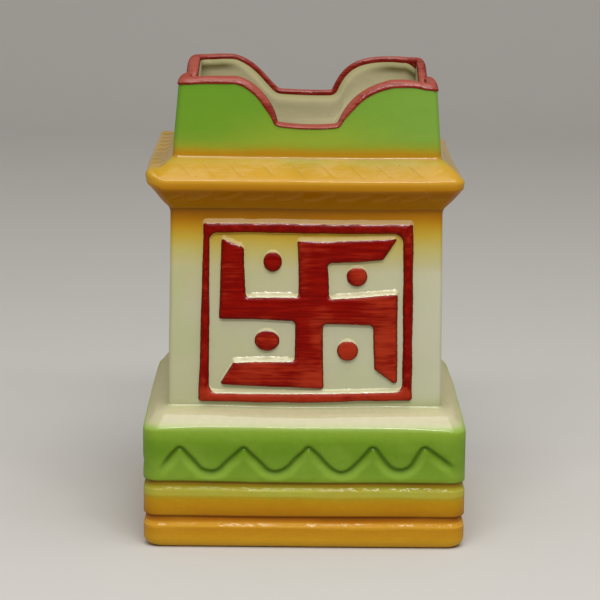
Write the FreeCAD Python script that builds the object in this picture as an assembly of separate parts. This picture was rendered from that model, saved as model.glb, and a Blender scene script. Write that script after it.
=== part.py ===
import FreeCAD, Part
import math
import os

# Tulsi vrindavan planter: a hand-built glazed pot in the form of a courtyard shrine.
# Lengths are in millimetres. The origin is the centre of the underside, +Z is up,
# and the decorated front looks along -Y.

# Clay body
wall = 5.0
inner_corner = 3.0
spigot_height = 2.2
slip_gap = 0.15
overrun = 1.0
touching = 1e-5
side_angles = (0, 90, 180, 270)

# Plinth: three courses and the sloping shoulder of the top one
shoulder_run = 10.9
shoulder_height = 8.4
foot_course_height = 14.8
middle_course_height = 15.5
wave_band_height = 23.8
plinth_corner = 5.0
foot_round = 4.6
course_top_round = 2.4
course_bottom_round = 1.0
shoulder_round = 2.0

# Foot ring and floor
ledge_width = 8.0
ledge_height = 5.5
floor_thickness = 5.0
floor_gap = 0.25
drain_diameter = 12.0

# Incised wave
wave_count = 5
wave_low_margin = 2.5
wave_top_margin = 6.1
wave_peak_radius = 2.5
wave_valley_radius = 5.0
wave_groove_width = 1.6
wave_groove_depth = 1.0

# Shaft
shaft_foot_width = 120.6
shaft_draft = 1.0
shaft_height = 88.0
shaft_corner = 2.0

# Cornice
collar_height = 1.5
cornice_overhang = 10.3
soffit_height = 10.8
slope_height = 9.7
cornice_corner = 4.0
nose_round = 2.6
soffit_round = 3.0

# Trough and its rim bead
trough_setback = 1.0
trough_draft = 2.3
trough_height = 35.0
trough_corner = 2.0
bead_height = 3.8
bead_lip = 1.9
bead_side = 0.7
bead_proud = 0.4
bead_round = 1.3
key_inset = 1.6
key_height = 0.8

# Stepped-down opening in the middle of each rim side
opening_width = 51.0
opening_floor_width = 25.2
opening_depth = 19.6
opening_shoulder_radius = 12.0
opening_floor_radius = 2.0

# Panel frame
panel_side_margin = 14.0
panel_top_margin = 6.6
panel_foot_margin = 1.8
frame_side_bar = 4.0
frame_top_bar = 4.3
frame_foot_bar = 5.2
frame_outer_corner = 1.0
frame_inner_corner = 2.0
sprig_relief = 1.8
sprig_round = 0.8

# Svastika and its four dots
svastika_side_gap = 3.5
svastika_end_gap = 2.0
upright_width = 13.0
crossbar_width = 11.2
side_hook_width = 10.6
end_hook_width = 10.4
end_hook_slant = 6.0
side_hook_slant = 5.5
svastika_corner = 1.0
dot_radius = 4.4
dot_sides = {
    "upper_left": (-1, 1),
    "upper_right": (1, 1),
    "lower_left": (-1, -1),
    "lower_right": (1, -1),
}
dot_place_shares = {
    "upper_left": (0.40, 0.67),
    "upper_right": (0.42, 0.80),
    "lower_left": (0.31, 0.33),
    "lower_right": (0.50, 0.35),
}

# Heights of the joints, from the ground up
foot_top = foot_course_height
middle_top = foot_top + middle_course_height
band_top = middle_top + wave_band_height
shaft_foot = band_top + shoulder_height
shaft_top = shaft_foot + shaft_height
soffit_foot = shaft_top + collar_height
ridge_level = soffit_foot + soffit_height
trough_foot = ridge_level + slope_height
rim_top = trough_foot + trough_height

# Half widths of the outside at those heights
shaft_foot_half = shaft_foot_width / 2
shaft_top_half = shaft_foot_half - shaft_draft
plinth_half = shaft_foot_half + shoulder_run
ridge_half = shaft_top_half + cornice_overhang
trough_foot_half = shaft_top_half - trough_setback
rim_half = trough_foot_half - trough_draft

wave_pitch = 2 * plinth_half / wave_count


def rounded_wire(points, radii):
    """Closed XZ outline through corner points, each rounded by its own radius."""
    edges = []
    starts = []
    ends = []
    middles = []
    for i, (x, z) in enumerate(points):
        corner = FreeCAD.Vector(x, 0, z)
        before = FreeCAD.Vector(points[i - 1][0], 0, points[i - 1][1]) - corner
        following = points[(i + 1) % len(points)]
        after = FreeCAD.Vector(following[0], 0, following[1]) - corner
        half_angle = before.getAngle(after) / 2
        reach = radii[i] / math.tan(half_angle)
        bisector = (before.normalize() + after.normalize()).normalize()
        starts.append(corner + before * reach)
        ends.append(corner + after * reach)
        middles.append(corner + bisector * (radii[i] / math.sin(half_angle) - radii[i]))
    for i in range(len(points)):
        if radii[i]:
            edges.append(Part.Arc(starts[i], middles[i], ends[i]).toShape())
        edges.append(Part.LineSegment(ends[i], starts[(i + 1) % len(points)]).toShape())
    return Part.Wire(edges)


def rounded_slab(points, radii, front, back):
    """Prism of a rounded XZ outline between two Y planes."""
    face = Part.Face(rounded_wire(points, radii))
    face.translate(FreeCAD.Vector(0, front, 0))
    return face.extrude(FreeCAD.Vector(0, back - front, 0))


def rounded_square(half, corner, level):
    points = [(half, half), (-half, half), (-half, -half), (half, -half)]
    wire = rounded_wire(points, [corner] * len(points))
    wire.rotate(FreeCAD.Vector(0, 0, 0), FreeCAD.Vector(1, 0, 0), -90)
    wire.translate(FreeCAD.Vector(0, 0, level))
    return wire


def tower(levels):
    """Solid that passes through rounded squares given as half width, corner, height."""
    return Part.makeLoft([rounded_square(*level) for level in levels], True, True)


def prism(half, corner, bottom, top):
    """Upright block over a rounded square."""
    face = Part.Face(rounded_square(half, corner, bottom))
    return face.extrude(FreeCAD.Vector(0, 0, top - bottom))


def turned(shape, angle):
    copy = shape.copy()
    copy.rotate(FreeCAD.Vector(0, 0, 0), FreeCAD.Vector(0, 0, 1), angle)
    return copy


def edges_at(shape, level):
    flat = []
    for edge in shape.Edges:
        if abs(edge.BoundBox.ZMin - level) < touching and abs(edge.BoundBox.ZMax - level) < touching:
            flat.append(edge)
    return flat


def rounded(shape, radius, level):
    return shape.makeFillet(radius, edges_at(shape, level))


def bend_shift(run, rise):
    """How far an inside corner moves along the wall from the outside corner it follows."""
    return wall * math.tan((math.pi / 2 - math.atan2(rise, run)) / 2)


def spigot(half, level):
    """Upstand on the inner half of a wall, which the piece above fits over."""
    outer = prism(half - wall / 2, inner_corner, level, level + spigot_height)
    inner = prism(half - wall, inner_corner, level - overrun, level + spigot_height + overrun)
    return outer.cut(inner)


def rebate(half, level):
    """Space that the spigot below takes, with room for the joining slip."""
    top = level + spigot_height + slip_gap
    return prism(half - wall / 2 + slip_gap, inner_corner, level - overrun, top)


# Plinth courses

def foot_course():
    block = prism(plinth_half, plinth_corner, 0, foot_top)
    block = rounded(block, foot_round, 0)
    block = rounded(block, course_top_round, foot_top)
    bowl_half = plinth_half - wall
    block = block.cut(prism(bowl_half - ledge_width, inner_corner, -overrun, foot_top))
    block = block.cut(prism(bowl_half, inner_corner, ledge_height, foot_top + overrun))
    return block.fuse(spigot(plinth_half, foot_top)).removeSplitter()


def middle_course():
    block = prism(plinth_half, plinth_corner, foot_top, middle_top)
    block = rounded(block, course_bottom_round, foot_top)
    block = rounded(block, course_top_round, middle_top)
    block = block.cut(prism(plinth_half - wall, inner_corner, foot_top - overrun, middle_top + overrun))
    block = block.cut(rebate(plinth_half, foot_top))
    return block.fuse(spigot(plinth_half, middle_top)).removeSplitter()


def wave_groove():
    """Groove round a zigzag of straight legs, tight at the peaks and wide in the valleys."""
    low = middle_top + wave_low_margin
    high = band_top - wave_top_margin
    leg_angle = math.atan2(high - low, wave_pitch / 2)
    side = wave_groove_width / 2
    lift = side / math.cos(leg_angle)
    corner_count = 2 * wave_count + 1
    points = []
    radii = []
    for way in (1, -1):
        for i in range(corner_count):
            peak = i % 2
            radius = wave_peak_radius + way * side if peak else wave_valley_radius - way * side
            level = high if peak else low
            at_end = i == 0 or i == corner_count - 1
            points.append((way * (i * wave_pitch / 2 - plinth_half), level + way * lift))
            radii.append(0 if at_end else radius)
    return rounded_slab(points, radii, -plinth_half - overrun, -plinth_half + wave_groove_depth)


def wave_course():
    block = tower([(plinth_half, plinth_corner, middle_top), (plinth_half, plinth_corner, band_top),
                   (shaft_foot_half, shaft_corner, shaft_foot)])
    block = rounded(block, course_bottom_round, middle_top)
    block = rounded(block, shoulder_round, band_top)
    shift = bend_shift(shoulder_run, shoulder_height)
    hollow = tower([(plinth_half - wall, inner_corner, middle_top - overrun),
                    (plinth_half - wall, inner_corner, band_top - shift),
                    (shaft_foot_half - wall, inner_corner, shaft_foot - shift),
                    (shaft_foot_half - wall, inner_corner, shaft_foot + overrun)])
    block = block.cut(hollow).cut(rebate(plinth_half, middle_top))
    groove = wave_groove()
    for angle in side_angles:
        block = block.cut(turned(groove, angle))
    return block.fuse(spigot(shaft_foot_half, shaft_foot)).removeSplitter()


def floor_slab():
    slab = prism(plinth_half - wall - floor_gap, inner_corner, ledge_height, ledge_height + floor_thickness)
    drain = Part.makeCylinder(drain_diameter / 2, floor_thickness + 2 * overrun,
                              FreeCAD.Vector(0, 0, ledge_height - overrun))
    return slab.cut(drain)


# Shaft, cornice and trough

def shaft():
    block = tower([(shaft_foot_half, shaft_corner, shaft_foot), (shaft_top_half, shaft_corner, shaft_top)])
    hollow = tower([(shaft_foot_half - wall, inner_corner, shaft_foot),
                    (shaft_top_half - wall, inner_corner, shaft_top)])
    block = block.cut(hollow).cut(rebate(shaft_foot_half, shaft_foot))
    return block.fuse(spigot(shaft_top_half, shaft_top)).removeSplitter()


def cornice():
    block = tower([(shaft_top_half, shaft_corner, shaft_top), (shaft_top_half, shaft_corner, soffit_foot),
                   (ridge_half, cornice_corner, ridge_level), (trough_foot_half, trough_corner, trough_foot)])
    block = rounded(block, nose_round, ridge_level)
    block = rounded(block, soffit_round, soffit_foot)
    lower_run = ridge_half - shaft_top_half
    upper_run = ridge_half - trough_foot_half
    lower_level = soffit_foot + bend_shift(lower_run, soffit_height)
    upper_level = trough_foot - bend_shift(upper_run, slope_height)
    nose_angle = (math.atan2(soffit_height, lower_run) + math.atan2(slope_height, upper_run)) / 2
    hollow = tower([(shaft_top_half - wall, inner_corner, shaft_top - overrun),
                    (shaft_top_half - wall, inner_corner, lower_level),
                    (ridge_half - wall / math.sin(nose_angle), inner_corner, ridge_level),
                    (trough_foot_half - wall, inner_corner, upper_level),
                    (trough_foot_half - wall, inner_corner, trough_foot + overrun)])
    block = block.cut(hollow).cut(rebate(shaft_top_half, shaft_top))
    return block.fuse(spigot(trough_foot_half, trough_foot)).removeSplitter()


def trough_ring(outer_extra, inner_extra, bottom):
    """Part of the trough wall above a level, thickened outward and inward."""
    outer_half = rim_half + (rim_top - bottom) * trough_draft / trough_height
    outer = tower([(outer_half + outer_extra, trough_corner, bottom),
                   (rim_half + outer_extra, trough_corner, rim_top)])
    inner = tower([(outer_half - wall - inner_extra, inner_corner, bottom),
                   (rim_half - wall - inner_extra, inner_corner, rim_top)])
    return outer.cut(inner)


def above_line(plateau, floor_level, top_half, floor_half, lift):
    """Space over the wall and above the stepped line of the rim, on all four sides."""
    far = trough_foot_half + bead_proud + overrun
    near = rim_half - wall - overrun
    high = rim_top + overrun
    points = [(-far, high), (-far, plateau + lift), (-top_half, plateau + lift),
              (-floor_half, floor_level + lift), (floor_half, floor_level + lift),
              (top_half, plateau + lift), (far, plateau + lift), (far, high)]
    radii = [0, 0, opening_shoulder_radius, opening_floor_radius,
             opening_floor_radius, opening_shoulder_radius, 0, 0]
    strip = rounded_slab(points, radii, -far, -near)
    return strip.fuse([turned(strip, angle) for angle in side_angles[1:]])


def bead_seat(lift):
    """Space above the line on which the bead sits, raised by a lift."""
    return above_line(rim_top - bead_height, rim_top - opening_depth - bead_lip,
                      opening_width / 2 + bead_side, opening_floor_width / 2 + bead_side, lift)


def key(extra):
    """Low ridge along the middle of the wall's edge, which the bead is pressed over."""
    lowest = rim_top - opening_depth - bead_lip - overrun
    ridge = trough_ring(extra - key_inset, extra - key_inset, lowest)
    return ridge.common(bead_seat(0)).cut(bead_seat(key_height + extra))


def trough():
    block = trough_ring(0, 0, trough_foot)
    block = block.cut(bead_seat(0)).cut(rebate(trough_foot_half, trough_foot))
    return block.fuse(key(0)).removeSplitter()


def rim_bead():
    lowest = rim_top - opening_depth - bead_lip - overrun
    block = trough_ring(bead_proud, 0, lowest).common(bead_seat(0))
    above = above_line(rim_top, rim_top - opening_depth, opening_width / 2, opening_floor_width / 2, 0)
    block = block.cut(above)
    core = trough_ring(-key_inset, -key_inset, lowest)
    lip_edges = []
    for edge in block.Edges:
        middle = Part.Vertex(edge.valueAt((edge.FirstParameter + edge.LastParameter) / 2))
        if middle.distToShape(above)[0] < touching and middle.distToShape(core)[0] > touching:
            lip_edges.append(edge)
    return block.makeFillet(bead_round, lip_edges).cut(key(slip_gap))


# Sprigged panel on the front and back

panel_half = shaft_foot_half - panel_side_margin
panel_foot = shaft_foot + panel_foot_margin
panel_top = shaft_top - panel_top_margin
well_half = panel_half - frame_side_bar
well_foot = panel_foot + frame_foot_bar
well_top = panel_top - frame_top_bar
well_middle = (well_foot + well_top) / 2
svastika_reach = well_half - svastika_side_gap
svastika_rise = (well_top - well_foot) / 2 - svastika_end_gap


def on_face(sprig):
    """Lean a sprig back with the face of the shaft and set it on that face."""
    lean = math.atan2(shaft_draft, shaft_height)
    middle_half = shaft_foot_half - (well_middle - shaft_foot) * math.tan(lean)
    placed = sprig.copy()
    placed.rotate(FreeCAD.Vector(0, 0, 0), FreeCAD.Vector(1, 0, 0), -math.degrees(lean))
    placed.translate(FreeCAD.Vector(0, -middle_half, well_middle))
    return placed


def soft_face(sprig):
    """Round the edges of the face that stands out from the wall."""
    proud = [edge for edge in sprig.Edges if abs(edge.BoundBox.YMax + sprig_relief) < touching]
    return sprig.makeFillet(sprig_round, proud)


def frame_sprig():
    outer = [(-panel_half, panel_foot - well_middle), (panel_half, panel_foot - well_middle),
             (panel_half, panel_top - well_middle), (-panel_half, panel_top - well_middle)]
    inner = [(-well_half, well_foot - well_middle), (well_half, well_foot - well_middle),
             (well_half, well_top - well_middle), (-well_half, well_top - well_middle)]
    block = rounded_slab(outer, [frame_outer_corner] * len(outer), -sprig_relief, 0)
    gap = rounded_slab(inner, [frame_inner_corner] * len(inner), -sprig_relief - overrun, overrun)
    return soft_face(block.cut(gap))


def svastika_sprig():
    upright = upright_width / 2
    crossbar = crossbar_width / 2
    reach = svastika_reach
    rise = svastika_rise
    points = []
    for s in (1, -1):
        points += [(-s * upright, s * crossbar), (-s * upright, s * rise), (s * reach, s * rise),
                   (s * (reach - end_hook_slant), s * (rise - end_hook_width)),
                   (s * upright, s * (rise - end_hook_width)),
                   (s * upright, s * crossbar), (s * reach, s * crossbar), (s * reach, -s * rise),
                   (s * (reach - side_hook_width), -s * (rise - side_hook_slant)),
                   (s * (reach - side_hook_width), -s * crossbar)]
    return soft_face(rounded_slab(points, [svastika_corner] * len(points), -sprig_relief, 0))


def dot_sprig(name):
    """Button in one of the four pockets between the arms, clear of the arms' hooks."""
    to_side, to_end = dot_sides[name]
    side_hook = side_hook_width if to_side != to_end else 0
    end_hook = end_hook_width if to_side == to_end else 0
    side_near = upright_width / 2 + dot_radius
    side_far = svastika_reach - side_hook - dot_radius
    end_near = crossbar_width / 2 + dot_radius
    end_far = svastika_rise - end_hook - dot_radius
    side_share, end_share = dot_place_shares[name]
    place = FreeCAD.Vector(to_side * (side_near + side_share * (side_far - side_near)), 0,
                           to_end * (end_near + end_share * (end_far - end_near)))
    return soft_face(Part.makeCylinder(dot_radius, sprig_relief, place, FreeCAD.Vector(0, -1, 0)))


def panel():
    pieces = {"frame": on_face(frame_sprig()), "svastika": on_face(svastika_sprig())}
    for name in dot_sides:
        pieces["dot_" + name] = on_face(dot_sprig(name))
    return pieces


nodes = {
    "foot_course": foot_course(),
    "middle_course": middle_course(),
    "wave_course": wave_course(),
    "floor_slab": floor_slab(),
    "shaft": shaft(),
    "cornice": cornice(),
    "trough": trough(),
    "rim_bead": rim_bead(),
}
for name, piece in panel().items():
    nodes["front_" + name] = piece
    nodes["back_" + name] = turned(piece, 180)

os.makedirs("parts", exist_ok=True)
for name, shape in nodes.items():
    box = shape.BoundBox
    print(name, "solids", len(shape.Solids), "valid", shape.isValid(), "volume", round(shape.Volume),
          "z", round(box.ZMin, 2), round(box.ZMax, 2), "x", round(box.XMin, 2), round(box.XMax, 2))
    shape.exportStep("parts/" + name + ".step")
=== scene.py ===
import math

import bpy
import numpy as np
from mathutils import Euler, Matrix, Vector


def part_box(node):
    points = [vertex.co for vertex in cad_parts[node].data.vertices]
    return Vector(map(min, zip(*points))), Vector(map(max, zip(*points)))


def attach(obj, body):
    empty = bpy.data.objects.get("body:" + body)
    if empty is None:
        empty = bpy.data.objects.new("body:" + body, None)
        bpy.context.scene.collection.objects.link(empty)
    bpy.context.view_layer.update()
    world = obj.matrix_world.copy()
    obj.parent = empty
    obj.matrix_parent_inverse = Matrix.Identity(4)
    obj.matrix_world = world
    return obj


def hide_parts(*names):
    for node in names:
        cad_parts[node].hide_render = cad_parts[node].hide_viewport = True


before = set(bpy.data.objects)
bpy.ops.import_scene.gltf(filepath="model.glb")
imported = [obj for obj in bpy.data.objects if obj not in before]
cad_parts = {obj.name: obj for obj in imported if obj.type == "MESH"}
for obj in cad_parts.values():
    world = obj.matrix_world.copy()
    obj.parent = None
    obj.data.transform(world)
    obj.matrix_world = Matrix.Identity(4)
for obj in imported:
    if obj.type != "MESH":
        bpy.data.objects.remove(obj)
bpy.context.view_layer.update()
print("frame loaded,", len(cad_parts), "nodes")

mm = 0.001


def nodeLow(node, axis=2):
    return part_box(node)[0][axis] / mm


def nodeHigh(node, axis=2):
    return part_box(node)[1][axis] / mm


clay = {
    "wall": 5.0, "innerCorner": 3.0,
    "ridgeOut": 0.5,      # the ridge is rounder here, so it reaches a little further
    "shaftLean": 1.0,     # how far the shaft leans in
    "troughLean": 2.3,    # and the trough
}
# heights of the joints and half widths of the outside, in millimetres
level = {
    "footTop": nodeLow("middle_course"),
    "middleTop": nodeLow("wave_course"),
    "shaftFoot": nodeLow("shaft"),
    "shaftTop": nodeLow("cornice"),
    "troughFoot": nodeLow("trough"),
    "rimTop": nodeHigh("rim_bead"),
    "slabFoot": nodeLow("floor_slab"),
    "slabTop": nodeHigh("floor_slab"),
}
half = {
    "plinth": nodeHigh("foot_course", 0),
    "shaftFoot": nodeHigh("shaft", 0),
    "shaftTop": nodeHigh("shaft", 0) - clay["shaftLean"],
    "ridge": nodeHigh("cornice", 0) + clay["ridgeOut"],
    "troughFoot": nodeHigh("trough", 0),
    "rimTop": nodeHigh("trough", 0) - clay["troughLean"],
}


# Hand-made unevenness

class Swell:
    # a smooth random field made of a few long sine waves, mostly between -1 and 1

    def __init__(self, seed, length, count=9):
        random = np.random.default_rng(seed)
        ways = random.normal(size=(count, 3))
        ways /= np.linalg.norm(ways, axis=1)[:, None]
        self.waves = ways * (2 * math.pi / (length * random.uniform(0.7, 1.5, count)))[:, None]
        self.phases = random.uniform(0, 2 * math.pi, count)
        self.gain = 1 / math.sqrt(count)

    def at(self, points):
        return self.gain * np.sin(points @ self.waves.T + self.phases).sum(-1)


handMade = {
    "drift": 0.16, "driftLength": 120.0,    # slow wander of the walls
    "lift": 0.34, "liftLength": 70.0,       # and of the edges, up and down
    "liftEnd": (166.0, 184.0),              # where the lift fades out, as the rim has lines of its own
    "ripple": 0.035, "rippleLength": 15.0,  # thumb-wide waves under the glaze
    "footing": 14.0,                        # the lift fades towards the flat underside
    "room": 0.03,                           # kept inside the overall size
}
drifts = [Swell(seed, handMade["driftLength"]) for seed in (3, 5)]
lifting = Swell(8, handMade["liftLength"])
ripples = [Swell(seed, handMade["rippleLength"]) for seed in (13, 21)]


def settle(points):
    # the same small unevenness for every piece, so that the pieces stay together
    moved = points.copy()
    for axis, (drift, ripple) in enumerate(zip(drifts, ripples)):
        moved[..., axis] += handMade["drift"] * drift.at(points) + handMade["ripple"] * ripple.at(points)
    z = points[..., 2]
    free = np.clip(z / handMade["footing"], 0, 1) * (1 - smoothStep(*handMade["liftEnd"], z))
    moved[..., 2] += handMade["lift"] * lifting.at(points) * free
    reach = half["plinth"] - handMade["room"]
    moved[..., :2] = np.clip(moved[..., :2], -reach, reach)
    moved[..., 2] = np.clip(moved[..., 2], 0, level["rimTop"] - handMade["room"])
    return moved


# Outlines and meshes

arcStep = 0.3    # distance between the points of a rounding
hair = 1e-6      # too little to count


def smoothStep(low, high, value):
    t = np.clip((value - low) / (high - low), 0, 1)
    return t * t * (3 - 2 * t)


def span(value, rise, fall):
    # 1 between two soft ends
    return smoothStep(*rise, value) * (1 - smoothStep(*fall, value))


def hump(value, centre, width):
    return np.exp(-((value - centre) / width) ** 2)


def partWay(start, end, share):
    return start + (end - start) * share


def roundedPath(points, radii, step, closed=True):
    # an outline with rounded corners; what a point carries past its first two values runs along with it
    points = [np.array(point, float) for point in points]
    count = len(points)
    path = []
    for i, (corner, radius) in enumerate(zip(points, radii)):
        if radius == 0 or not (closed or 0 < i < count - 1):
            path.append(corner)
            continue
        ways = [points[i - 1] - corner, points[(i + 1) % count] - corner]
        lengths = [np.linalg.norm(way[:2]) for way in ways]
        cosine = np.dot(ways[0][:2], ways[1][:2]) / (lengths[0] * lengths[1])
        halfAngle = math.acos(max(-1.0, min(1.0, cosine))) / 2
        reach = radius / math.tan(halfAngle)
        start, end = (corner + way * (reach / length) for way, length in zip(ways, lengths))
        middle = ways[0][:2] / lengths[0] + ways[1][:2] / lengths[1]
        middle /= np.linalg.norm(middle)
        centre = corner[:2] + middle * (radius / math.sin(halfAngle))
        (ax, ay), (bx, by) = start[:2] - centre, end[:2] - centre
        sweep = math.copysign(math.pi - 2 * halfAngle, ax * by - ay * bx)
        parts = max(4, math.ceil(radius * abs(sweep) / arcStep))
        for k in range(parts + 1):
            a = sweep * k / parts
            spun = (ax * math.cos(a) - ay * math.sin(a), ax * math.sin(a) + ay * math.cos(a))
            path.append(np.concatenate([centre + spun, partWay(start[2:], end[2:], k / parts)]))
    filled = []
    for here, there in zip(path, path[1:] + (path[:1] if closed else [])):
        parts = max(1, math.ceil(np.linalg.norm((there - here)[:2]) / step - hair))
        filled += [partWay(here, there, k / parts) for k in range(parts)]
    return np.array(filled if closed else filled + path[-1:])


def openPath(corners, step):
    # corners as (half width, height, corner radius, rounding)
    return roundedPath([c[:3] for c in corners], [c[3] for c in corners], step, closed=False)


def stretch(path, low, high):
    # the part of a rising outline between two heights, cut exactly there
    heights = path[:, 1]
    ends = [[np.interp(z, heights, values) for values in path.T] for z in (low, high)]
    middle = path[(heights > low + hair) & (heights < high - hair)]
    return np.vstack([ends[:1], middle, ends[1:]])


def evenly(path, count):
    # the same open path with points at even distances
    lengths = np.concatenate([[0], np.cumsum(np.linalg.norm(np.diff(path, axis=0), axis=1))])
    places = np.linspace(0, lengths[-1], count)
    return np.stack([np.interp(places, lengths, values) for values in path.T], -1)


def pathDistance(x, z, path):
    # distance to an open path, and on which side of it a point lies: 1 above, -1 below
    best = np.full(x.shape, 1e9)
    above = np.zeros(x.shape)
    for start, end in zip(path[:-1], path[1:]):
        way = end - start
        share = np.clip(((x - start[0]) * way[0] + (z - start[1]) * way[1]) / (way @ way), 0, 1)
        dx = x - start[0] - share * way[0]
        dz = z - start[1] - share * way[1]
        distance = np.hypot(dx, dz)
        nearer = distance < best
        best = np.where(nearer, distance, best)
        above = np.where(nearer, np.sign(way[0] * dz - way[1] * dx), above)
    return best, above


def softened(values, width):
    # a row of values, each blended with its neighbours
    kernel = np.hanning(2 * width + 3)[1:-1]
    return np.convolve(np.pad(values, width, "edge"), kernel / kernel.sum(), "valid")


def addObject(name, data):
    thing = bpy.data.objects.new(name, data)
    bpy.context.scene.collection.objects.link(thing)
    return thing


def smoothMesh(name, points, faces, material):
    mesh = bpy.data.meshes.new(name)
    mesh.from_pydata(points, [], faces)
    mesh.validate()
    mesh.polygons.foreach_set("use_smooth", [True] * len(mesh.polygons))
    mesh.materials.append(material)
    return mesh


def meshPiece(name, points, faces, marks, material, nodes, crease=42):
    mesh = smoothMesh(name, (settle(points) * mm).tolist(), faces, material)
    mesh.set_sharp_from_angle(angle=math.radians(crease))
    for label, values in marks.items():
        mark = mesh.attributes.new(label, "FLOAT", "POINT")
        mark.data.foreach_set("value", np.ascontiguousarray(values, np.float32).ravel())
    piece = addObject(name, mesh)
    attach(piece, "root")
    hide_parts(*nodes)
    print(name, len(points), "points")


def gridPiece(name, points, marks, material, nodes, crease=42):
    # a grid of points that is closed both ways
    index = np.arange(points[..., 0].size).reshape(points.shape[:2])
    right = np.roll(index, -1, 1)
    faces = np.stack([index, right, np.roll(right, -1, 0), np.roll(index, -1, 0)], -1).reshape(-1, 4)
    meshPiece(name, points.reshape(-1, 3), faces.tolist(), marks, material, nodes, crease)


outward = np.array([(0, -1), (1, 0), (0, 1), (-1, 0)], float)   # front, right, back, left
sideways = np.array([(1, 0), (0, 1), (-1, 0), (0, -1)], float)


def ringColumns(straight, corner):
    # columns round a rounded square: side, share along the straight, turn in the corner
    columns = []
    for side in range(4):
        columns += [(side, share, 0) for share in np.linspace(-1, 1, straight)]
        columns += [(side, 1, turn) for turn in np.linspace(0, math.pi / 2, corner + 2)[1:-1]]
    sides, alongs, turns = np.array(columns).T
    return sides.astype(int), alongs, turns


def facingAt(sides, turns):
    # which way the wall faces, in the corners too
    return outward[sides] * np.cos(turns)[:, None] + sideways[sides] * np.sin(turns)[:, None]


def squarePlace(sides, turns, h, along, c):
    # places on a rounded square seen from above, by half width, way along the side and corner radius
    h, along, c = (np.asarray(value)[..., None] for value in (h, along, c))
    return outward[sides] * (h - c) + sideways[sides] * along + facingAt(sides, turns) * c


def raised(flat, height):
    # places seen from above, set at their heights
    return np.concatenate([flat, np.broadcast_to(height, flat.shape[:-1])[..., None]], -1)


def wallHalf(z, low, high):
    # half width at a height, where a wall leans evenly from one joint to another
    return partWay(half[low], half[high], (z - level[low]) / (level[high] - level[low]))


def cornerShares(flat, reach, width):
    # how near a point is to each corner of the square: front right, back right, back left, front left
    close = smoothStep(reach - width, reach, np.abs(flat).min(-1))
    right, front = flat[..., 0] > 0, flat[..., 1] < 0
    return [close * where for where in (right & front, right & ~front, ~right & ~front, ~right & front)]


def ringPiece(name, outer, inner, columns, look, nodes, relief=None):
    # an outside profile going up and an inside one going down, carried round a square
    profile = np.vstack([outer, inner])
    sides, alongs, turns = columns
    h = profile[:, :1]
    c = np.minimum(profile[:, 2:], h)
    ahead = np.roll(profile[:, :2], -1, 0) - np.roll(profile[:, :2], 1, 0)
    ahead /= np.linalg.norm(ahead, axis=1)[:, None] + 1e-9
    x = alongs * (h - c) + c * np.sin(turns)
    flat = squarePlace(sides, turns, h, alongs * (h - c), c)
    height = np.broadcast_to(profile[:, 1:2], x.shape)
    outside = (np.arange(len(profile)) < len(outer))[:, None] * np.ones(x.shape)
    marks = {}
    if relief:
        push, lift, marks = relief(np.broadcast_to(sides, x.shape), x, height, flat)
        push = push * outside
        flat = flat + facingAt(sides, turns) * (ahead[:, 1:] * push)[..., None]
        height = height - ahead[:, :1] * push + lift
        marks = {label: values * outside for label, values in marks.items()}
    marks["inside"] = 1 - outside
    gridPiece(name, raised(flat, height), marks, bandedGlaze(name + "Glaze", look), nodes)


# Shader kit

class Knob:
    # a node's output that takes part in sums

    def __init__(self, pot, socket):
        self.pot = pot
        self.socket = socket

    def beside(self, name):
        # another output of the same node
        return Knob(self.pot, self.socket.node.outputs[name])

    def maths(self, operation, first, second):
        return self.pot.add("ShaderNodeMath", {"operation": operation}, {0: first, 1: second})

    def __add__(self, other):
        return self.maths("ADD", self, other)

    def __radd__(self, other):
        return self.maths("ADD", other, self)

    def __sub__(self, other):
        return self.maths("SUBTRACT", self, other)

    def __rsub__(self, other):
        return self.maths("SUBTRACT", other, self)

    def __mul__(self, other):
        return self.maths("MULTIPLY", self, other)

    def __rmul__(self, other):
        return self.maths("MULTIPLY", other, self)

    def __truediv__(self, other):
        return self.maths("DIVIDE", self, other)

    def __rtruediv__(self, other):
        return self.maths("DIVIDE", other, self)


def glazeColour(colour):
    # display values from 0 to 255 as the linear colour that a shader takes; a Knob stays as it is
    if isinstance(colour, Knob):
        return colour
    shown = [value / 255 for value in colour]
    return (*[v / 12.92 if v <= 0.04045 else ((v + 0.055) / 1.055) ** 2.4 for v in shown], 1.0)


# what holds for every glaze, unless a piece's own look says otherwise
glazing = {
    "wanderSize": 26, "sinkAcross": (0, 50), "rightAcross": (-40, 80), "mottleSize": 5.0,
    "patchEdge": (0.42, 0.66), "patchWithin": (-50, 300),
    "inside": (199, 190, 150), "insideMottle": 0.16, "insideSize": 14,
    "speck": (70, 50, 18), "speckShare": 0.6, "speckGap": 8.0, "speckWidth": 0.42, "speckPit": 0.5,
    "speckChance": 0.10,    # how many of the gaps hold one
    "roughness": 0.085, "roughnessSpread": 0.06,
    "grain": 0.5, "grainSize": 2.6, "peel": 1.0, "peelSize": 9.0, "bump": 0.17,
    # the glaze lies thin on the walls and thick and glassy on the ledges
    "wallGloss": 0.1, "ledgeGloss": 0.5, "grazeGloss": 0.0,
    "ledgeTilt": (0.12, 0.38), "grazing": (0.55, 0.85),
}


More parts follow.
